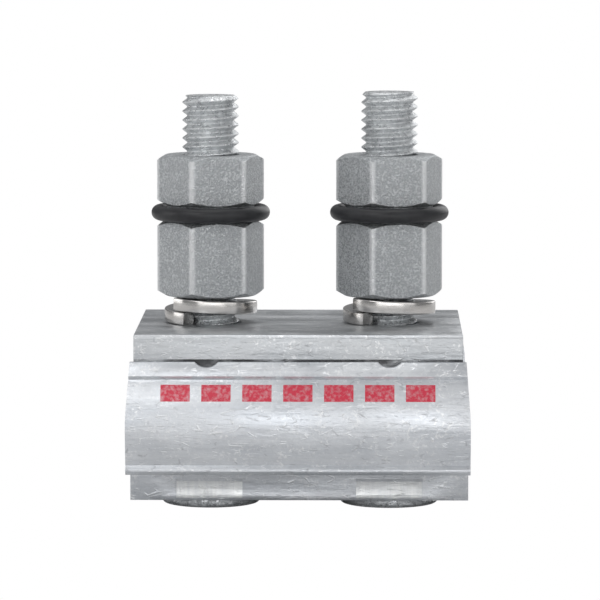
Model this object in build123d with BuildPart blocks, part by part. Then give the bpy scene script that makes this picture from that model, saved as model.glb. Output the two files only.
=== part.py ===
from build123d import *
import math
import os

os.makedirs("parts", exist_ok=True)

# Parallel groove clamp for two overhead conductors, in millimetres.
# X runs along the conductors, Y across them and Z up along the bolts.
# The origin is on the plane that the two bolt heads stand on, midway between them.

# Lower body, an extruded aluminium section with two open troughs
body_length = 47.0
end_lean = 0.55
rib_width = 16.0
rib_height = 5.3
flank_width = 44.0
trough_offset = 12.3
trough_width = 12.8
floor_thickness = 2.45
web_height = 15.6
rim_drop = 0.35
rim_thickness = 0.9
lip_height = 1.8
lip_spread = 0.9
bead_height = 1.3
bead_edge = 0.5

# The groove for the thinnest conductor, shared by both jaws
groove_radius = 2.1
lower_flank_angle = 45.0
upper_flank_angle = 30.0

# Upper plate, an extruded aluminium section with two jaws that enter the troughs
plate_length = 45.0
plate_thickness = 3.2
jaw_wall_gap = 0.8
jaw_flank_gap = 0.5
plate_chamfer = 0.4

# Bolts, with a flat round head and a square neck
bolt_spacing = 25.0
bolt_length = 57.8
left_bolt_shortfall = 0.5
bolt_diameter = 7.9
bolt_chamfer = 0.6
head_diameter = 13.8
head_thickness = 1.3
head_rounding = 0.6
neck_width = 8.4
neck_height = 4.0
neck_clearance = 0.1
hole_clearance = 0.35

# Marks on the body beside each bolt
swage_width = 9.2
swage_height = 2.3
swage_depth = 0.3
swage_foot = 0.7
notch_width = 3.2
notch_depth = 0.7

# Spring washers, a little over one left-hand turn of bar
washer_inner_diameter = 8.4
washer_outer_diameter = 13.0
washer_thickness = 1.8
washer_pitch = 1.92
washer_sweep = 378.0
washer_end_angle = 236.0
washer_clearance = 0.05

# Shear nuts, two hexagons joined by a thin neck
hex_across_flats = 13.1
drive_height = 10.5
shear_height = 7.0
shear_gap = 2.2
shear_neck_diameter = 12.2
nut_bore_clearance = 0.05
nut_chamfer_angle = 30.0
nut_turn = 11.0
nut_face_diameter = 12.6

# Rubber rings around the shear necks
ring_section = 2.1
ring_clearance = 0.1

# Levels along Z
rib_bottom = head_thickness
flank_bottom = rib_bottom + rib_height
groove_level = flank_bottom + floor_thickness + groove_radius
plate_bottom = flank_bottom + web_height
plate_top = plate_bottom + plate_thickness
rim_level = plate_bottom - rim_drop
washer_rise = washer_pitch * washer_sweep / 360
nut_bottom = plate_top + washer_rise + washer_thickness + washer_clearance
neck_bottom = nut_bottom + drive_height
neck_top = neck_bottom + shear_gap
nut_top = neck_top + shear_height

# Widths across Y
trough_half = trough_width / 2
trough_inner = trough_offset - trough_half
trough_outer = trough_offset + trough_half
plate_half = trough_outer - jaw_wall_gap
jaw_half = trough_half - jaw_wall_gap
hole_radius = bolt_diameter / 2 + hole_clearance

bolt_places = {"left": -bolt_spacing / 2, "right": bolt_spacing / 2}
bolt_lengths = {"left": bolt_length - left_bolt_shortfall, "right": bolt_length}

# Each groove is a round root that runs out tangentially into two flat flanks
lower_angle = math.radians(lower_flank_angle)
root_y = groove_radius * math.sin(lower_angle)
root_z = groove_level - groove_radius * math.cos(lower_angle)
flank_top = root_z + (trough_half - root_y) * math.tan(lower_angle)

upper_angle = math.radians(upper_flank_angle)
crown_y = groove_radius * math.sin(upper_angle)
crown_z = groove_level + groove_radius * math.cos(upper_angle)

# The jaw's flank ends where it would come within its gap of the trough's flank
gap_level = root_z - root_y * math.tan(lower_angle) + jaw_flank_gap
slopes = math.tan(lower_angle) + math.tan(upper_angle)
corner_y = (crown_z + crown_y * math.tan(upper_angle) - gap_level) / slopes
corner_z = gap_level + corner_y * math.tan(lower_angle)
jaw_side = gap_level + jaw_half * math.tan(lower_angle)

flank_half = flank_width / 2
rim_outer = trough_outer + rim_thickness
crease_y = rim_outer + lip_spread
crease_z = rim_level - lip_height
bead_half = flank_half - bead_edge
bead_top = flank_bottom + bead_height
lean_level = (bead_top + crease_z) / 2


# Lower body: outer walls that curl out from the rib and close each trough from outside
with BuildPart() as lower_body:
    with BuildSketch(Plane.YZ):
        with BuildLine():
            Polyline(
                (0, rib_bottom),
                (rib_width / 2, rib_bottom),
                (rib_width / 2, flank_bottom),
                (bead_half - bead_edge, flank_bottom),
                (bead_half, flank_bottom + bead_edge),
                (bead_half, bead_top - bead_edge),
                (bead_half - bead_edge, bead_top),
            )
            ThreePointArc(
                (bead_half - bead_edge, bead_top),
                (flank_half, (bead_top + crease_z) / 2),
                (crease_y - bead_edge, crease_z - bead_edge),
            )
            Polyline(
                (crease_y - bead_edge, crease_z - bead_edge),
                (crease_y, crease_z),
                (rim_outer, rim_level),
                (trough_outer, rim_level),
                (trough_outer, flank_top),
                (trough_offset + root_y, root_z),
            )
            ThreePointArc(
                (trough_offset + root_y, root_z),
                (trough_offset, groove_level - groove_radius),
                (trough_offset - root_y, root_z),
            )
            Polyline(
                (trough_offset - root_y, root_z),
                (trough_inner, flank_top),
                (trough_inner, plate_bottom),
                (0, plate_bottom),
            )
            mirror(about=Plane.YZ)
        make_face()
    extrude(amount=body_length / 2, both=True)
    # Both sawn ends lean in above the widest line of the flanks
    half_length = body_length / 2
    clear_level = plate_bottom + 1
    lean_top = end_lean * (clear_level - lean_level) / (rim_level - lean_level)
    for end in (-1, 1):
        with BuildSketch(Plane.XZ):
            with BuildLine():
                Polyline(
                    (end * half_length, lean_level),
                    (end * (half_length + 1), lean_level),
                    (end * (half_length + 1), clear_level),
                    (end * (half_length - lean_top), clear_level),
                    (end * half_length, lean_level),
                )
            make_face()
        extrude(amount=flank_width, both=True, mode=Mode.SUBTRACT)
    with Locations(*[(x, 0, rib_bottom) for x in bolt_places.values()]):
        Cylinder(
            hole_radius,
            web_height + rib_height,
            align=(Align.CENTER, Align.CENTER, Align.MIN),
            mode=Mode.SUBTRACT,
        )
        Box(
            neck_width + 2 * neck_clearance,
            neck_width + 2 * neck_clearance,
            neck_height + neck_clearance,
            align=(Align.CENTER, Align.CENTER, Align.MIN),
            mode=Mode.SUBTRACT,
        )
    # Swaged patches on the rib hold the square necks
    swage_z = rib_bottom + swage_foot + swage_height / 2
    swage_y = rib_width / 2
    with Locations(*[(x, y, swage_z) for x in bolt_places.values() for y in (-swage_y, swage_y)]):
        Box(swage_width, 2 * swage_depth, swage_height, mode=Mode.SUBTRACT)
    # A shallow round notch crosses each rim beside each bolt
    notch_radius = (notch_width**2 / 4 + notch_depth**2) / (2 * notch_depth)
    notch_z = rim_level - notch_depth + notch_radius
    notch_y = (trough_outer + crease_y) / 2
    notch_reach = 2 * (crease_y - trough_outer)
    with Locations(*[(x, y, notch_z) for x in bolt_places.values() for y in (-notch_y, notch_y)]):
        Cylinder(notch_radius, notch_reach, rotation=(90, 0, 0), mode=Mode.SUBTRACT)
lower_body.part.label = "lower_body"
export_step(lower_body.part, "parts/lower_body.step")


# Upper plate: its flat middle rests on the body's web and a jaw hangs into each trough
with BuildPart() as upper_plate:
    with BuildSketch(Plane.YZ):
        with BuildLine():
            Polyline(
                (0, plate_bottom),
                (trough_offset - jaw_half, plate_bottom),
                (trough_offset - jaw_half, jaw_side),
                (trough_offset - corner_y, corner_z),
                (trough_offset - crown_y, crown_z),
            )
            ThreePointArc(
                (trough_offset - crown_y, crown_z),
                (trough_offset, groove_level + groove_radius),
                (trough_offset + crown_y, crown_z),
            )
            Polyline(
                (trough_offset + crown_y, crown_z),
                (trough_offset + corner_y, corner_z),
                (plate_half, jaw_side),
                (plate_half, plate_top - plate_chamfer),
                (plate_half - plate_chamfer, plate_top),
                (0, plate_top),
            )
            mirror(about=Plane.YZ)
        make_face()
    extrude(amount=plate_length / 2, both=True)
    with Locations(*[(x, 0, plate_bottom) for x in bolt_places.values()]):
        Cylinder(
            hole_radius,
            plate_thickness,
            align=(Align.CENTER, Align.CENTER, Align.MIN),
            mode=Mode.SUBTRACT,
        )
upper_plate.part.label = "upper_plate"
export_step(upper_plate.part, "parts/upper_plate.step")


# Bolts: the head lies under the rib and the square neck keeps the bolt from turning
for side, place in bolt_places.items():
    with BuildPart() as bolt:
        with Locations((place, 0, 0)):
            Cylinder(
                head_diameter / 2,
                head_thickness,
                align=(Align.CENTER, Align.CENTER, Align.MIN),
            )
        fillet(bolt.edges().filter_by(GeomType.CIRCLE).sort_by(Axis.Z)[0], head_rounding)
        with Locations((place, 0, head_thickness)):
            Box(neck_width, neck_width, neck_height, align=(Align.CENTER, Align.CENTER, Align.MIN))
            Cylinder(
                bolt_diameter / 2,
                bolt_lengths[side] - head_thickness,
                align=(Align.CENTER, Align.CENTER, Align.MIN),
            )
        chamfer(bolt.edges().filter_by(GeomType.CIRCLE).sort_by(Axis.Z)[-1], bolt_chamfer)
    bolt.part.label = side + "_bolt"
    export_step(bolt.part, f"parts/{side}_bolt.step")


# Spring washers: square-edged bar wound left-handed, sprung open between plate and nut
washer_middle = (washer_inner_diameter + washer_outer_diameter) / 4
washer_band = (washer_outer_diameter - washer_inner_diameter) / 2
for side, place in bolt_places.items():
    with BuildPart() as spring_washer:
        with BuildLine(Plane((place, 0, plate_top + washer_thickness / 2))) as coil:
            Helix(
                pitch=washer_pitch,
                height=washer_rise,
                radius=washer_middle,
                lefthand=True,
            )
        turn_start = coil.wire()
        with BuildSketch(Plane(turn_start @ 0, x_dir=(1, 0, 0), z_dir=turn_start % 0)):
            Rectangle(washer_band, washer_thickness)
        sweep(path=turn_start, is_frenet=True)
    turned_washer = spring_washer.part.rotate(Axis((place, 0, 0), (0, 0, 1)), washer_end_angle)
    turned_washer.label = side + "_spring_washer"
    export_step(turned_washer, f"parts/{side}_spring_washer.step")


# Shear nuts: the upper hexagon twists off at the neck and the lower one stays on
nut_bore = bolt_diameter / 2 + nut_bore_clearance
corner_radius = hex_across_flats / math.sqrt(3)
chamfer_drop = (corner_radius - nut_face_diameter / 2) * math.tan(math.radians(nut_chamfer_angle))
for side, place in bolt_places.items():
    with BuildPart() as shear_nut:
        with BuildSketch(Plane((place, 0, nut_bottom))):
            RegularPolygon(corner_radius, 6, rotation=nut_turn)
        extrude(amount=drive_height)
        with BuildSketch(Plane((place, 0, neck_bottom))):
            Circle(shear_neck_diameter / 2)
        extrude(amount=shear_gap)
        with BuildSketch(Plane((place, 0, neck_top))):
            RegularPolygon(corner_radius, 6, rotation=nut_turn)
        extrude(amount=shear_height)
        # A turned outline takes the corners off both ends of both hexagons
        with BuildSketch(Plane((place, 0, 0), x_dir=(1, 0, 0), z_dir=(0, -1, 0))):
            with BuildLine():
                Polyline(
                    (0, nut_bottom),
                    (nut_face_diameter / 2, nut_bottom),
                    (corner_radius, nut_bottom + chamfer_drop),
                    (corner_radius, neck_bottom - chamfer_drop),
                    (nut_face_diameter / 2, neck_bottom),
                    (shear_neck_diameter / 2, neck_bottom),
                    (shear_neck_diameter / 2, neck_top),
                    (nut_face_diameter / 2, neck_top),
                    (corner_radius, neck_top + chamfer_drop),
                    (corner_radius, nut_top - chamfer_drop),
                    (nut_face_diameter / 2, nut_top),
                    (0, nut_top),
                    close=True,
                )
            make_face()
        revolve(axis=Axis((place, 0, 0), (0, 0, 1)), mode=Mode.INTERSECT)
        with Locations((place, 0, nut_bottom)):
            Cylinder(
                nut_bore,
                nut_top - nut_bottom,
                align=(Align.CENTER, Align.CENTER, Align.MIN),
                mode=Mode.SUBTRACT,
            )
    shear_nut.part.label = side + "_shear_nut"
    export_step(shear_nut.part, f"parts/{side}_shear_nut.step")


# Rubber rings: each lies in the groove between the two hexagons
ring_middle = shear_neck_diameter / 2 + ring_clearance + ring_section / 2
for side, place in bolt_places.items():
    with BuildPart() as rubber_ring:
        with Locations((place, 0, (neck_bottom + neck_top) / 2)):
            Torus(ring_middle, ring_section / 2)
    rubber_ring.part.label = side + "_rubber_ring"
    export_step(rubber_ring.part, f"parts/{side}_rubber_ring.step")
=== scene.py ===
import math

import bmesh
import bpy
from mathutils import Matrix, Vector


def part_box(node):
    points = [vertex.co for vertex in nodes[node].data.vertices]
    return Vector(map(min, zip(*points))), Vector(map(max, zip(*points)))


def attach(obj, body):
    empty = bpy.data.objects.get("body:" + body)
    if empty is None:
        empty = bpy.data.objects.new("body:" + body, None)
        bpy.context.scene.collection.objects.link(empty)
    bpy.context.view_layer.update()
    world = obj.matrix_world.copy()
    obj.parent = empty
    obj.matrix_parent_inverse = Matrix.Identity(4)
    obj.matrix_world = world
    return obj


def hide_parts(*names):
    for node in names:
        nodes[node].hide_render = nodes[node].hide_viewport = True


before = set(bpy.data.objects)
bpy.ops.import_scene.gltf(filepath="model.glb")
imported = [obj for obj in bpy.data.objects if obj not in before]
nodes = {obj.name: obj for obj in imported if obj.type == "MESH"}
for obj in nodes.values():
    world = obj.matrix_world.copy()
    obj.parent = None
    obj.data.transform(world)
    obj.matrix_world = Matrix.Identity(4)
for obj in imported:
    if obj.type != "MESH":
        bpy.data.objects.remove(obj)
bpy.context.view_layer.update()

# ---------------------------------------------------------------------------
# Room: a floor and backdrop that the camera sees as plain white, and soft light.
# The camera stands low in front of the clamp, a little to its right.
# ---------------------------------------------------------------------------
look_at = Vector((0.0, 0.0, 0.0285))
camera_distance = 0.640
camera_height = math.radians(5.6)
camera_side = math.radians(0.8)
toward = Vector((
    math.sin(camera_side) * math.cos(camera_height),
    -math.cos(camera_side) * math.cos(camera_height),
    math.sin(camera_height),
))
camera_data = bpy.data.cameras.new("studio_camera")
camera_data.lens = 273.8
camera_data.sensor_width = 36.0
camera_data.clip_start = 0.01
camera_data.clip_end = 20.0
camera = bpy.data.objects.new("studio_camera", camera_data)
camera.location = look_at + toward * camera_distance
camera.rotation_euler = toward.to_track_quat("Z", "Y").to_euler()
bpy.context.collection.objects.link(camera)
bpy.context.scene.camera = camera
bpy.context.scene.view_settings.view_transform = "Standard"


def feed(tree, socket, value):
    """Links a node's output to a socket, or sets a plain value on the socket."""
    if hasattr(value, "links"):
        tree.links.new(value, socket)
    else:
        socket.default_value = value


def new_node(tree, kind, inputs):
    """A node with its named inputs fed."""
    node = tree.nodes.new(kind)
    for label, value in inputs.items():
        feed(tree, node.inputs[label], value)
    return node


def new_material(name):
    material = bpy.data.materials.new(name)
    material.use_nodes = True
    tree = material.node_tree
    tree.nodes.clear()
    return material, tree, tree.nodes.new("ShaderNodeOutputMaterial")


def white_to_camera(tree, lit, white, output):
    """Shows the white shader to the camera and the lit one to every other ray."""
    ray = tree.nodes.new("ShaderNodeLightPath")
    choice = tree.nodes.new("ShaderNodeMixShader")
    tree.links.new(ray.outputs["Is Camera Ray"], choice.inputs["Fac"])
    tree.links.new(lit, choice.inputs[1])
    tree.links.new(white, choice.inputs[2])
    tree.links.new(choice.outputs["Shader"], output.inputs["Surface"])


floor_material, tree, output = new_material("pale_floor")
paper = new_node(tree, "ShaderNodeBsdfDiffuse", {"Color": (0.70, 0.70, 0.70, 1.0)})
white = tree.nodes.new("ShaderNodeEmission")
white_to_camera(tree, paper.outputs["BSDF"], white.outputs["Emission"], output)

floor_half = 4.0
floor_level = -0.00005
floor_mesh = bpy.data.meshes.new("floor")
floor_mesh.from_pydata(
    [
        (-floor_half, -floor_half, floor_level),
        (floor_half, -floor_half, floor_level),
        (floor_half, floor_half, floor_level),
        (-floor_half, floor_half, floor_level),
    ],
    [],
    [(0, 1, 2, 3)],
)
floor_mesh.materials.append(floor_material)
floor = bpy.data.objects.new("floor", floor_mesh)
bpy.context.collection.objects.link(floor)

world = bpy.data.worlds.new("studio")
bpy.context.scene.world = world
world.use_nodes = True
tree = world.node_tree
tree.nodes.clear()
output = tree.nodes.new("ShaderNodeOutputWorld")
direction = tree.nodes.new("ShaderNodeTexCoord")
split = new_node(tree, "ShaderNodeSeparateXYZ", {"Vector": direction.outputs["Generated"]})
sky = new_node(tree, "ShaderNodeValToRGB", {"Fac": split.outputs["Z"]})
stops = sky.color_ramp.elements
for end, height, tone in ((0, 0.0, (0.30, 0.31, 0.32, 1.0)), (1, 0.9, (1.0, 1.0, 1.0, 1.0))):
    stops[end].position = height
    stops[end].color = tone
for height, grey in ((0.12, 0.46), (0.30, 0.42), (0.55, 0.80)):
    stops.new(height).color = (grey, grey * 1.01, grey * 1.03, 1.0)
soft = new_node(tree, "ShaderNodeBackground", {"Color": sky.outputs["Color"], "Strength": 0.55})
bright = new_node(tree, "ShaderNodeBackground", {"Color": (1.0, 1.0, 1.0, 1.0)})
white_to_camera(tree, soft.outputs["Background"], bright.outputs["Background"], output)

for name, place, width, height, power in (
    ("key_light", (-0.55, -0.75, 0.75), 0.50, 0.50, 2.0),
    ("front_light", (0.05, -0.95, 0.18), 1.30, 0.30, 2.25),
    ("left_light", (-0.95, -0.02, 0.22), 0.50, 0.60, 1.5),
    ("fill_light", (0.75, -0.55, 0.30), 0.50, 0.50, 0.8),
    ("top_light", (0.0, 0.10, 0.95), 0.60, 0.60, 2.2),
    ("rim_light", (0.45, 0.80, 0.35), 0.60, 0.60, 1.8),
):
    lamp = bpy.data.lights.new(name, "AREA")
    lamp.shape = "RECTANGLE"
    lamp.size = width
    lamp.size_y = height
    lamp.energy = power
    lamp_object = bpy.data.objects.new(name, lamp)
    lamp_object.location = place
    aim = Vector(place) - look_at
    lamp_object.rotation_euler = aim.to_track_quat("Z", "Y").to_euler()
    bpy.context.collection.objects.link(lamp_object)


# ---------------------------------------------------------------------------
# Lower body: an aluminium section pushed through a die and sawn to length.
# It keeps fine lines along its length, dull oxide patches and handling scuffs.
# A broken red line is printed along the front flank.
# ---------------------------------------------------------------------------
def reckon(tree, operation, *values):
    """One step of arithmetic on numbers and outputs."""
    node = tree.nodes.new("ShaderNodeMath")
    node.operation = operation
    for socket, value in zip(node.inputs, values):
        feed(tree, socket, value)
    return node.outputs["Value"]


def overlap(tree, mask, *others):
    """Masks and strengths multiplied together."""
    for other in others:
        mask = reckon(tree, "MULTIPLY", mask, other)
    return mask


def ranged(tree, value, onto=(0.0, 1.0), span=(0.0, 1.0)):
    """Carries a span of values onto another, and holds the ends beyond it."""
    spread = new_node(
        tree,
        "ShaderNodeMapRange",
        {
            "Value": value,
            "From Min": span[0],
            "From Max": span[1],
            "To Min": onto[0],
            "To Max": onto[1],
        },
    )
    return spread.outputs["Result"]


def parted(tree, vector):
    """The three coordinates of a vector."""
    return tuple(new_node(tree, "ShaderNodeSeparateXYZ", {"Vector": vector}).outputs)


def blotches(tree, vector, scale, low, high):
    """Soft noise, cut off below one level and full above another."""
    noise = new_node(
        tree,
        "ShaderNodeTexNoise",
        {"Vector": vector, "Scale": scale, "Detail": 6.0, "Roughness": 0.6},
    )
    return ranged(tree, noise.outputs["Fac"], span=(low, high))


def new_mask_group(name, vectors, numbers):
    """A shader group with named inputs that puts out one mask."""
    group = bpy.data.node_groups.new(name, "ShaderNodeTree")
    for label in vectors:
        group.interface.new_socket(label, in_out="INPUT", socket_type="NodeSocketVector")
    for label, value in numbers.items():
        socket = group.interface.new_socket(
            label,
            in_out="INPUT",
            socket_type="NodeSocketFloat",
        )
        socket.default_value = value
    group.interface.new_socket("Mask", in_out="OUTPUT", socket_type="NodeSocketFloat")
    return group, group.nodes.new("NodeGroupInput").outputs, group.nodes.new("NodeGroupOutput")


def patches_group():
    """Soft blotches stretched by the vector that comes in."""
    group, given, end = new_mask_group(
        "oxide_patches",
        ("Vector",),
        {"Scale": 300.0, "Low": 0.35, "High": 0.65},
    )
    mask = blotches(group, given["Vector"], given["Scale"], given["Low"], given["High"])
    group.links.new(mask, end.inputs["Mask"])
    return group


def scratches_group():
    """Thin short lines: the edges of long thin cells, broken up by blotches."""
    group, given, end = new_mask_group(
        "thin_scratches",
        ("Vector", "Turn"),
        {"Scale": 1000.0, "Width": 0.05},
    )
    turned = new_node(
        group,
        "ShaderNodeMapping",
        {"Vector": given["Vector"], "Rotation": given["Turn"], "Scale": (0.25, 1.0, 1.0)},
    )
    cells = new_node(
        group,
        "ShaderNodeTexVoronoi",
        {"Vector": turned.outputs["Vector"], "Scale": given["Scale"]},
    )
    cells.feature = "DISTANCE_TO_EDGE"
    line = ranged(group, cells.outputs["Distance"], onto=(1.0, 0.0), span=(0.0, given["Width"]))
    blotch_scale = reckon(group, "MULTIPLY", given["Scale"], 0.7)
    broken = blotches(group, given["Vector"], blotch_scale, 0.52, 0.60)
    group.links.new(overlap(group, line, broken), end.inputs["Mask"])
    return group


oxide_patches = patches_group()
thin_scratches = scratches_group()


def placed(tree, group, vector, values):
    """Puts a mask group in a material with that material's own values."""
    node = tree.nodes.new("ShaderNodeGroup")
    node.node_tree = group
    for label, value in {"Vector": vector, **values}.items():
        feed(tree, node.inputs[label], value)
    return node.outputs["Mask"]


def patches(tree, vector, scale, low, high):
    return placed(tree, oxide_patches, vector, {"Scale": scale, "Low": low, "High": high})


def scratches(tree, vector, scale, width, turn):
    return placed(tree, thin_scratches, vector, {"Scale": scale, "Width": width, "Turn": turn})


def stretched(tree, vector, stretch):
    mapping = new_node(tree, "ShaderNodeMapping", {"Vector": vector, "Scale": stretch})
    return mapping.outputs["Vector"]


def blended(tree, mask, first, second):
    """Mixes two colours by a mask; each colour is a tuple or an output."""
    mix = tree.nodes.new("ShaderNodeMix")
    mix.data_type = "RGBA"
    tree.links.new(mask, mix.inputs["Factor"])
    for socket, colour in ((mix.inputs[6], first), (mix.inputs[7], second)):
        feed(tree, socket, colour if hasattr(colour, "links") else (*colour, 1.0))
    return mix.outputs[2]


def tinted(tree, colour, *layers):
    """Lays tones over a colour in turn, each by its mask and strength."""
    for mask, strength, tone in layers:
        colour = blended(tree, overlap(tree, mask, strength), colour, tone)
    return colour


def bumped(tree, height, distance, strength, below=None):
    """The normal of a relief, laid over the relief below if there is one."""
    bump = new_node(
        tree,
        "ShaderNodeBump",
        {"Height": height, "Distance": distance, "Strength": strength},
    )
    if below is not None:
        tree.links.new(below, bump.inputs["Normal"])
    return bump.outputs["Normal"]


def surfaced(tree, output, inputs):
    """Ends a material in one Principled shader."""
    shader = new_node(tree, "ShaderNodeBsdfPrincipled", inputs)
    tree.links.new(shader.outputs["BSDF"], output.inputs["Surface"])


def aluminium(name, light, dark, marks=(), printed=None):
    """Drawn metal: lines along its length under cloudy oxide, specks and scratches."""
    material, tree, output = new_material(name)
    where = tree.nodes.new("ShaderNodeTexCoord").outputs["Object"]
    along = stretched(tree, where, (0.05, 1.0, 1.0))
    drawn = patches(tree, along, scale=1500.0, low=0.30, high=0.70)
    wide_lines = patches(tree, along, scale=420.0, low=0.32, high=0.68)
    drifting = stretched(tree, where, (0.45, 1.0, 1.0))
    cloudy = patches(tree, drifting, scale=210.0, low=0.38, high=0.66)
    speckled = patches(tree, where, scale=1900.0, low=0.45, high=0.75)
    flecked = patches(tree, where, scale=2300.0, low=0.53, high=0.62)
    rubbed = patches(tree, where, scale=330.0, low=0.44, high=0.62)
    scored = scratches(tree, where, scale=1150.0, width=0.055, turn=(0.3, 0.9, 0.35))
    nicked = scratches(tree, where, scale=900.0, width=0.05, turn=(1.1, 0.2, -0.5))
    colour = tinted(
        tree,
        blended(tree, wide_lines, dark, light),
        (drawn, 0.35, tuple(0.86 * part for part in dark)),
        (cloudy, 0.40, (0.86, 0.87, 0.88)),
        (speckled, 0.18, (0.45, 0.46, 0.48)),
        (scored, 0.42, (0.95, 0.95, 0.95)),
        (overlap(tree, flecked, rubbed), 0.55, (0.96, 0.96, 0.96)),
        (nicked, 0.45, (0.30, 0.31, 0.33)),
    )
    for mark, tone in marks:
        colour = blended(tree, mark(tree, where), colour, tone)
    metallic = 0.92
    if printed is not None:
        ink = printed(tree, where, speckled)
        colour = blended(tree, ink, colour, ink_tone)
        metallic = reckon(tree, "SUBTRACT", metallic, overlap(tree, ink, ink_cover))
    relief = bumped(tree, drawn, distance=0.00004, strength=0.35)
    relief = bumped(tree, cloudy, distance=0.00020, strength=0.30, below=relief)
    relief = bumped(tree, scored, distance=0.00006, strength=0.5, below=relief)
    surfaced(tree, output, {
        "Base Color": colour,
        "Metallic": metallic,
        "Roughness": ranged(tree, cloudy, onto=(0.30, 0.52)),
        "Normal": relief,
    })
    return material


ink_tone = (0.62, 0.035, 0.07)
ink_cover = 0.85
ink_wear = 0.55
ink_level = 0.0178
ink_height = 0.0022
ink_half = 0.0187
ink_front = -0.0190
dashes_per_metre = 179.7
dash_share = 0.72


def red_dashes(tree, where, speckled):
    """A plain broken red line along the front flank, thinned by wear in places."""
    x, y, z = parted(tree, where)
    along = reckon(tree, "ADD", x, ink_half)
    beat = reckon(tree, "FRACT", reckon(tree, "MULTIPLY", along, dashes_per_metre))
    return overlap(
        tree,
        reckon(tree, "COMPARE", z, ink_level, ink_height / 2),
        reckon(tree, "COMPARE", x, 0.0, ink_half),
        reckon(tree, "LESS_THAN", y, ink_front),
        reckon(tree, "LESS_THAN", beat, dash_share),
        reckon(tree, "SUBTRACT", 1.0, overlap(tree, speckled, ink_wear)),
    )


def axis_of(node):
    """How far to the right the upright axis of a round piece stands."""
    low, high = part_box(node)
    return (low[0] + high[0]) / 2


bolt_reach = axis_of("right_bolt")
swage_tone = (0.93, 0.94, 0.93)
swage_middle = 0.00275
swage_height = 0.0023
swage_half_width = 0.0046


def pressed_marks(tree, where):
    """The two patches where the rib was pressed against each bolt's square neck."""
    x, _, z = parted(tree, where)
    upright = stretched(tree, where, (1.0, 1.0, 0.12))
    ribbed = patches(tree, upright, scale=1700.0, low=0.30, high=0.70)
    return overlap(
        tree,
        reckon(tree, "COMPARE", z, swage_middle, swage_height / 2),
        reckon(tree, "COMPARE", reckon(tree, "ABSOLUTE", x), bolt_reach, swage_half_width),
        ranged(tree, ribbed, onto=(0.35, 1.0)),
    )


weld_distance = 1e-6
flat_angle = math.radians(0.5)
rounded_angle = math.radians(24.0)
crease_angle = math.radians(38.0)


def softened(node, name, rounding, segments=2, keep_below=None):
    """A welded copy of a solid's mesh with its sharp edges slightly rounded."""
    mesh = nodes[node].data.copy()
    mesh.name = name
    mesh.materials.clear()
    shape = bmesh.new()
    shape.from_mesh(mesh)
    bmesh.ops.remove_doubles(shape, verts=shape.verts, dist=weld_distance)
    if keep_below is not None:
        bmesh.ops.bisect_plane(
            shape,
            geom=shape.verts[:] + shape.edges[:] + shape.faces[:],
            plane_co=(0.0, 0.0, keep_below),
            plane_no=(0.0, 0.0, 1.0),
            clear_outer=True,
        )
        rim = [edge for edge in shape.edges if edge.is_boundary]
        bmesh.ops.edgeloop_fill(shape, edges=rim)
    bmesh.ops.dissolve_limit(
        shape,
        angle_limit=flat_angle,
        verts=shape.verts,
        edges=shape.edges,
    )
    shape.to_mesh(mesh)
    shape.free()
    piece = bpy.data.objects.new(name, mesh)
    bpy.context.collection.objects.link(piece)
    bevel = piece.modifiers.new("rounding", "BEVEL")
    bevel.width = rounding
    bevel.segments = segments
    bevel.limit_method = "ANGLE"
    bevel.angle_limit = rounded_angle
    bevel.use_clamp_overlap = True
    return settled(piece)


def settled(piece):
    """Turns a piece's modifiers into plain mesh and shades it smooth by angle."""
    graph = bpy.context.evaluated_depsgraph_get()
    mesh = bpy.data.meshes.new_from_object(piece.evaluated_get(graph))
    piece.modifiers.clear()
    piece.data = mesh
    mesh.shade_smooth()
    mesh.set_sharp_from_angle(angle=crease_angle)
    return piece


def finished(piece, material, body, node):
    """Paints a piece and hands it to the frame in its node's place."""
    piece.data.materials.clear()
    piece.data.materials.append(material)
    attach(piece, body)
    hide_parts(node)


body_piece = softened("lower_body", "body_section", rounding=0.00018)
body_material = aluminium(
    "drawn_aluminium",
    light=(0.74, 0.76, 0.79),
    dark=(0.55, 0.58, 0.62),
    marks=((pressed_marks, swage_tone),),
    printed=red_dashes,
)
finished(body_piece, body_material, "base", "lower_body")


# ---------------------------------------------------------------------------
# Upper plate: the second aluminium section, sawn slightly shorter than the body.
# Its metal is duller than the body's, and its sawn edges are a little rounded.
# Painted shade darkens the jaws in the gap between them and the body's rims.
# ---------------------------------------------------------------------------
# Painted shade: a near-black tone for the jaws' walls behind the rims, where shade falls.
gap_shade_tone = (0.030, 0.030, 0.032)
gap_shade_strength = 0.92
gap_shade_depth = 0.0028
below_rims = 0.0001
behind_wall = 0.0002
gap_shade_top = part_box("lower_body")[1][2] - below_rims
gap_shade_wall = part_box("upper_plate")[1][1] - behind_wall


def painted_gap_shade(tree, where):
    """Painted shade on the jaws' outer walls, in the narrow gap behind the rims."""
    _, y, z = parted(tree, where)
    fade = ranged(tree, z, span=(gap_shade_top - gap_shade_depth, gap_shade_top))
    fade.node.interpolation_type = "SMOOTHSTEP"
    drifting = stretched(tree, where, (0.3, 1.0, 1.0))
    return overlap(
        tree,
        reckon(tree, "LESS_THAN", z, gap_shade_top),
        reckon(tree, "GREATER_THAN", reckon(tree, "ABSOLUTE", y), gap_shade_wall),
        fade,
        patches(tree, drifting, scale=600.0, low=0.25, high=0.55),
        gap_shade_strength,
    )


plate_piece = softened("upper_plate", "jaw_plate", rounding=0.00020)
plate_material = aluminium(
    "dull_aluminium",
    light=(0.52, 0.54, 0.56),
    dark=(0.40, 0.42, 0.44),
    # The jaws carry painted shade in the gap behind the body's rims.
    marks=((painted_gap_shade, gap_shade_tone),),
)
finished(plate_piece, plate_material, "plate", "upper_plate")


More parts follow.
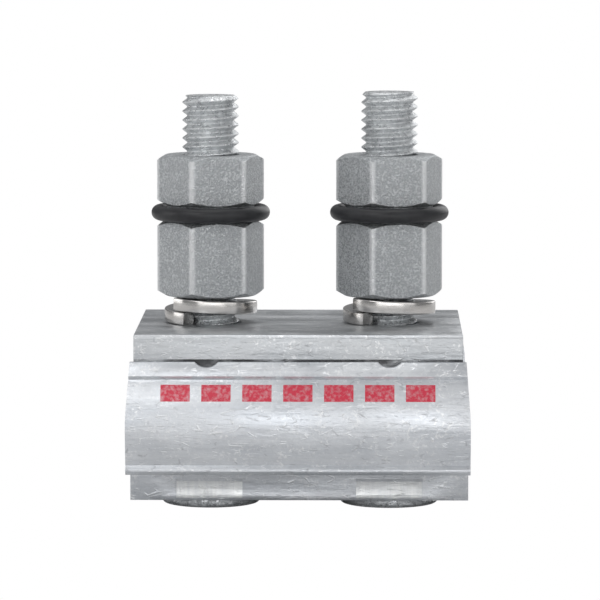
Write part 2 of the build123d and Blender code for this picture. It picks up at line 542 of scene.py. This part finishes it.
# ---------------------------------------------------------------------------
# Bolts: hot-dip galvanised steel, with a rolled thread that starts below the plate.
# The thread is one helical surface. The head lies under the rib and its square
# neck sits in the rib.
# ---------------------------------------------------------------------------
def new_modifier_tree(name, numbers):
    """A Geometry Nodes tree with named number inputs, a material input and an output."""
    tree = bpy.data.node_groups.new(name, "GeometryNodeTree")
    tree.interface.new_socket("Geometry", in_out="INPUT", socket_type="NodeSocketGeometry")
    for label, value in numbers.items():
        socket = tree.interface.new_socket(
            label,
            in_out="INPUT",
            socket_type="NodeSocketFloat",
        )
        socket.default_value = value
    tree.interface.new_socket("Finish", in_out="INPUT", socket_type="NodeSocketMaterial")
    tree.interface.new_socket("Geometry", in_out="OUTPUT", socket_type="NodeSocketGeometry")
    return tree, tree.nodes.new("NodeGroupInput").outputs, tree.nodes.new("NodeGroupOutput")


def closing(tree, given, end, geometry):
    """Ends a tree in Realize Instances and Set Material."""
    real = new_node(tree, "GeometryNodeRealizeInstances", {"Geometry": geometry})
    paint = new_node(
        tree,
        "GeometryNodeSetMaterial",
        {"Geometry": real.outputs["Geometry"], "Material": given["Finish"]},
    )
    tree.links.new(paint.outputs["Geometry"], end.inputs["Geometry"])


def made(name, tree, material, values):
    """Runs a tree on an empty mesh and keeps its result as a plain mesh."""
    piece = bpy.data.objects.new(name, bpy.data.meshes.new(name))
    bpy.context.collection.objects.link(piece)
    modifier = piece.modifiers.new("making", "NODES")
    modifier.node_group = tree
    values = {"Finish": material, **values}
    for item in tree.interface.items_tree:
        if item.in_out == "INPUT" and item.name in values:
            modifier[item.identifier] = values[item.name]
    return settled(piece)


def joined(tree, x=0.0, y=0.0, z=0.0):
    """A vector of three numbers or outputs."""
    return new_node(tree, "ShaderNodeCombineXYZ", {"X": x, "Y": y, "Z": z}).outputs["Vector"]


def thread_tree():
    """A grid rolled into a cylinder whose radius follows a helical V thread."""
    tree, given, end = new_modifier_tree(
        "rolled_thread",
        {
            "Axis X": 0.0,
            "Bottom": 0.02,
            "Top": 0.057,
            "Outer Radius": 0.004,
            "Root Radius": 0.0033,
            "Pitch": 0.00125,
            "End Chamfer": 0.0006,
            "Roughness Height": 0.00003,
        },
    )
    around = 64
    rows = 520
    grid = new_node(
        tree,
        "GeometryNodeMeshGrid",
        {"Size X": 1.0, "Size Y": 1.0, "Vertices X": around + 1, "Vertices Y": rows},
    )
    place = tree.nodes.new("GeometryNodeInputPosition")
    across, up, _ = parted(tree, place.outputs["Position"])
    turn = reckon(tree, "ADD", across, 0.5)
    climb = reckon(tree, "ADD", up, 0.5)
    angle = reckon(tree, "MULTIPLY", turn, math.tau)
    cosine = reckon(tree, "COSINE", angle)
    sine = reckon(tree, "SINE", angle)
    tall = reckon(tree, "SUBTRACT", given["Top"], given["Bottom"])
    level = reckon(tree, "MULTIPLY_ADD", climb, tall, given["Bottom"])

    # One ridge a pitch, with its crest and root cut flat
    flat_share = 0.14
    laps = reckon(tree, "DIVIDE", level, given["Pitch"])
    phase = reckon(tree, "FRACT", reckon(tree, "SUBTRACT", laps, turn))
    centred = reckon(tree, "MULTIPLY_ADD", phase, 2.0, -1.0)
    ridge = reckon(tree, "SUBTRACT", 1.0, reckon(tree, "ABSOLUTE", centred))
    flank = reckon(tree, "MULTIPLY_ADD", ridge, 1.0 + 2.0 * flat_share, -flat_share)
    flank.node.use_clamp = True
    depth = reckon(tree, "SUBTRACT", given["Outer Radius"], given["Root Radius"])
    radius = reckon(tree, "MULTIPLY_ADD", flank, depth, given["Root Radius"])

    # The zinc's uneven skin
    spot_reach = 0.9
    spot_height = 9.0
    spot = joined(
        tree,
        reckon(tree, "MULTIPLY", cosine, spot_reach),
        reckon(tree, "MULTIPLY", sine, spot_reach),
        reckon(tree, "MULTIPLY", climb, spot_height),
    )
    uneven = new_node(tree, "ShaderNodeTexNoise", {"Vector": spot, "Scale": 9.0, "Detail": 3.0})
    loss = reckon(tree, "MULTIPLY", uneven.outputs["Fac"], given["Roughness Height"])
    radius = reckon(tree, "SUBTRACT", radius, loss)

    # A cone at the top, and rows that close the two ends on the axis
    cone_start = reckon(tree, "SUBTRACT", given["Top"], given["End Chamfer"])
    past = reckon(tree, "MAXIMUM", reckon(tree, "SUBTRACT", level, cone_start), 0.0)
    cone = reckon(tree, "SUBTRACT", given["Outer Radius"], past)
    half_row = 0.5 / (rows - 1)
    radius = overlap(
        tree,
        reckon(tree, "MINIMUM", radius, cone),
        reckon(tree, "GREATER_THAN", climb, half_row),
        reckon(tree, "LESS_THAN", climb, 1.0 - half_row),
    )
    rolled = joined(
        tree,
        reckon(tree, "MULTIPLY_ADD", cosine, radius, given["Axis X"]),
        reckon(tree, "MULTIPLY", sine, radius),
        level,
    )
    move = new_node(
        tree,
        "GeometryNodeSetPosition",
        {"Geometry": grid.outputs["Mesh"], "Position": rolled},
    )
    weld = new_node(
        tree,
        "GeometryNodeMergeByDistance",
        {"Geometry": move.outputs["Geometry"], "Distance": 1e-7},
    )
    closing(tree, given, end, weld.outputs["Geometry"])
    return tree


def galvanised(name, light, dark, grain, roughness, painted_highlight=None):
    """Zinc with a fine sandy grain, as nuts and bolts come from the hot bath."""
    material, tree, output = new_material(name)
    where = tree.nodes.new("ShaderNodeTexCoord").outputs["Object"]
    sandy = patches(tree, where, scale=grain, low=0.43, high=0.58)
    coarse = patches(tree, where, scale=grain * 0.30, low=0.35, high=0.68)
    bright_grains = patches(tree, where, scale=grain * 0.62, low=0.66, high=0.74)
    colour = tinted(
        tree,
        blended(tree, sandy, dark, light),
        (coarse, 0.50, (0.38, 0.39, 0.41)),
        (bright_grains, 0.55, (0.80, 0.81, 0.82)),
    )
    if painted_highlight is not None:
        # Painted highlight: a pale tone on the rounded corners, where the edges would catch the
        # light.
        colour = blended(tree, painted_highlight(tree, where), colour, (0.86, 0.87, 0.88))
    relief = bumped(tree, sandy, distance=0.00006, strength=0.85)
    relief = bumped(tree, coarse, distance=0.00016, strength=0.35, below=relief)
    surfaced(tree, output, {
        "Base Color": colour,
        "Metallic": 0.85,
        "Roughness": ranged(tree, sandy, onto=(roughness - 0.08, roughness + 0.10)),
        "Normal": relief,
    })
    return material


thread_bottom = 0.0200
thread_overlap = 0.0002
bolt_material = galvanised(
    "galvanised_thread",
    light=(0.84, 0.86, 0.87),
    dark=(0.66, 0.68, 0.69),
    grain=1500.0,
    roughness=0.34,
)
rolled_thread = thread_tree()
for side in ("left", "right"):
    bolt = side + "_bolt"
    shank = softened(bolt, bolt + "_shank", rounding=0.00015, keep_below=thread_bottom)
    thread = made(
        bolt + "_thread",
        rolled_thread,
        bolt_material,
        {
            "Axis X": axis_of(bolt),
            "Bottom": thread_bottom - thread_overlap,
            "Top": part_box(bolt)[1][2],
            "Outer Radius": 0.00395,
            "Root Radius": 0.00330,
        },
    )
    for piece in (shank, thread):
        finished(piece, bolt_material, "base", bolt)


# ---------------------------------------------------------------------------
# Spring washers: bright drawn steel bar, wound left-handed and cut square.
# Each is still sprung open, with its lower end forward on the left.
# ---------------------------------------------------------------------------
def seated(tree, given, geometry, turn=0.0):
    """Turns a shape made round the origin, and moves it to its axis and level."""
    seat = new_node(
        tree,
        "GeometryNodeTransform",
        {
            "Geometry": geometry,
            "Translation": joined(tree, x=given["Axis X"], z=given["Level"]),
            "Rotation": joined(tree, z=turn),
        },
    )
    return seat.outputs["Geometry"]


def washer_tree():
    """A rounded bar section carried along a left-handed spiral."""
    tree, given, end = new_modifier_tree(
        "wound_bar",
        {
            "Axis X": 0.0,
            "Level": 0.0258,
            "Radius": 0.00535,
            "Rise": 0.00226,
            "Turns": 1.05,
            "Band": 0.0023,
            "Thickness": 0.00195,
            "End Angle": 0.0,
            "Edge Radius": 0.0002,
        },
    )
    spiral = new_node(
        tree,
        "GeometryNodeCurveSpiral",
        {
            "Resolution": 96,
            "Rotations": given["Turns"],
            "Start Radius": given["Radius"],
            "End Radius": given["Radius"],
            "Height": given["Rise"],
        },
    )
    upright = new_node(tree, "GeometryNodeSetCurveNormal", {"Curve": spiral.outputs["Curve"]})
    upright.mode = "Z_UP"
    section = new_node(
        tree,
        "GeometryNodeCurvePrimitiveQuadrilateral",
        {"Width": given["Band"], "Height": given["Thickness"]},
    )
    corners = tree.nodes.new("GeometryNodeFilletCurve")
    corners.mode = "POLY"
    corners.inputs["Count"].default_value = 4
    tree.links.new(section.outputs["Curve"], corners.inputs["Curve"])
    tree.links.new(given["Edge Radius"], corners.inputs["Radius"])
    sweep = new_node(
        tree,
        "GeometryNodeCurveToMesh",
        {
            "Curve": upright.outputs["Curve"],
            "Profile Curve": corners.outputs["Curve"],
            "Fill Caps": True,
        },
    )
    closing(tree, given, end, seated(tree, given, sweep.outputs["Mesh"], given["End Angle"]))
    return tree


def spring_steel():
    """Steel with fine lines drawn around the bar and a faint warm tint."""
    material, tree, output = new_material("drawn_spring_steel")
    where = tree.nodes.new("ShaderNodeTexCoord").outputs["Object"]
    upright = stretched(tree, where, (0.15, 0.15, 1.0))
    lines = patches(tree, upright, scale=2600.0, low=0.30, high=0.70)
    smudge = patches(tree, where, scale=350.0, low=0.40, high=0.70)
    colour = tinted(
        tree,
        blended(tree, lines, (0.58, 0.56, 0.54), (0.72, 0.70, 0.68)),
        (smudge, 0.25, (0.38, 0.37, 0.36)),
    )
    surfaced(tree, output, {
        "Base Color": colour,
        "Metallic": 1.0,
        "Roughness": ranged(tree, smudge, onto=(0.16, 0.26)),
        "Normal": bumped(tree, lines, distance=0.00002, strength=0.2),
    })
    return material


washer_bore = 0.0084
washer_width = 0.0130
washer_thickness = 0.0018
washer_pitch = 0.00192
washer_turns = 1.05
washer_end_angle = math.radians(236.0)
inside_solid = 0.00002
plate_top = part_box("upper_plate")[1][2]
washer_material = spring_steel()
wound_bar = washer_tree()
for side in ("left", "right"):
    washer = made(
        side + "_washer",
        wound_bar,
        washer_material,
        {
            "Axis X": axis_of(side + "_bolt"),
            "Level": plate_top + washer_thickness / 2,
            "Radius": (washer_width + washer_bore) / 4,
            "Rise": washer_pitch * washer_turns,
            "Turns": washer_turns,
            "Band": (washer_width - washer_bore) / 2 - inside_solid,
            "Thickness": washer_thickness - inside_solid,
            "End Angle": washer_end_angle,
        },
    )
    finished(washer, washer_material, "plate", side + "_spring_washer")


# ---------------------------------------------------------------------------
# Shear nuts: steel turned from hexagon bar, necked between its two hexagons.
# Hot-dip zinc leaves them matt and sandy, with every edge rounded.
# ---------------------------------------------------------------------------
# Reach and strength of the painted highlight on the nuts' corners.
corner_near = 0.00725
corner_far = 0.00743
corner_highlight_strength = 0.75


def painted_corner_highlight(tree, where):
    """Painted highlight: the zinc is made brighter on the six rounded corners, far from the bolt's
    axis.
    """
    x, y, _ = parted(tree, where)
    aside = reckon(tree, "SUBTRACT", reckon(tree, "ABSOLUTE", x), bolt_reach)
    squares = [reckon(tree, "MULTIPLY", part, part) for part in (aside, y)]
    distance = reckon(tree, "SQRT", reckon(tree, "ADD", *squares))
    return overlap(tree, ranged(tree, distance, span=(corner_near, corner_far)), corner_highlight_strength)


nut_material = galvanised(
    "sandy_zinc",
    light=(0.66, 0.68, 0.69),
    dark=(0.38, 0.40, 0.415),
    grain=3600.0,
    roughness=0.44,
    painted_highlight=painted_corner_highlight,
)
for side in ("left", "right"):
    nut = softened(side + "_shear_nut", side + "_nut", rounding=0.00038, segments=4)
    finished(nut, nut_material, side + "_nut", side + "_shear_nut")


# ---------------------------------------------------------------------------
# Rubber rings: moulded black rubber, stretched over the neck between the hexagons.
# The surface is nearly smooth, with a soft shine and a few specks of dust.
# ---------------------------------------------------------------------------
def ring_tree():
    """A round section carried round a circle."""
    tree, given, end = new_modifier_tree(
        "moulded_ring",
        {"Axis X": 0.0, "Level": 0.04, "Ring Radius": 0.0071, "Section Radius": 0.0012},
    )
    hoop, section = [
        new_node(tree, "GeometryNodeCurvePrimitiveCircle", {"Resolution": steps, "Radius": radius})
        for steps, radius in ((128, given["Ring Radius"]), (32, given["Section Radius"]))
    ]
    sweep = new_node(
        tree,
        "GeometryNodeCurveToMesh",
        {"Curve": hoop.outputs["Curve"], "Profile Curve": section.outputs["Curve"]},
    )
    closing(tree, given, end, seated(tree, given, sweep.outputs["Mesh"]))
    return tree


def black_rubber():
    """Dull black with a fine skin, a soft shine and pale dust."""
    material, tree, output = new_material("moulded_rubber")
    where = tree.nodes.new("ShaderNodeTexCoord").outputs["Object"]
    dull = patches(tree, where, scale=500.0, low=0.35, high=0.70)
    dust = patches(tree, where, scale=1500.0, low=0.72, high=0.76)
    skin = patches(tree, where, scale=3200.0, low=0.30, high=0.70)
    colour = tinted(
        tree,
        blended(tree, dull, (0.010, 0.010, 0.012), (0.022, 0.023, 0.026)),
        (dust, 0.5, (0.32, 0.33, 0.35)),
    )
    surfaced(tree, output, {
        "Base Color": colour,
        "Specular IOR Level": 0.45,
        "Roughness": ranged(tree, dull, onto=(0.36, 0.52)),
        "Normal": bumped(tree, skin, distance=0.00003, strength=0.3),
    })
    return material


rubber_material = black_rubber()
moulded_ring = ring_tree()
for side in ("left", "right"):
    low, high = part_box(side + "_rubber_ring")
    section_radius = (high[2] - low[2]) / 2
    ring = made(
        side + "_ring",
        moulded_ring,
        rubber_material,
        {
            "Axis X": axis_of(side + "_rubber_ring"),
            "Level": (low[2] + high[2]) / 2,
            "Ring Radius": (high[0] - low[0]) / 2 - section_radius,
            "Section Radius": section_radius,
        },
    )
    finished(ring, rubber_material, side + "_nut", side + "_rubber_ring")
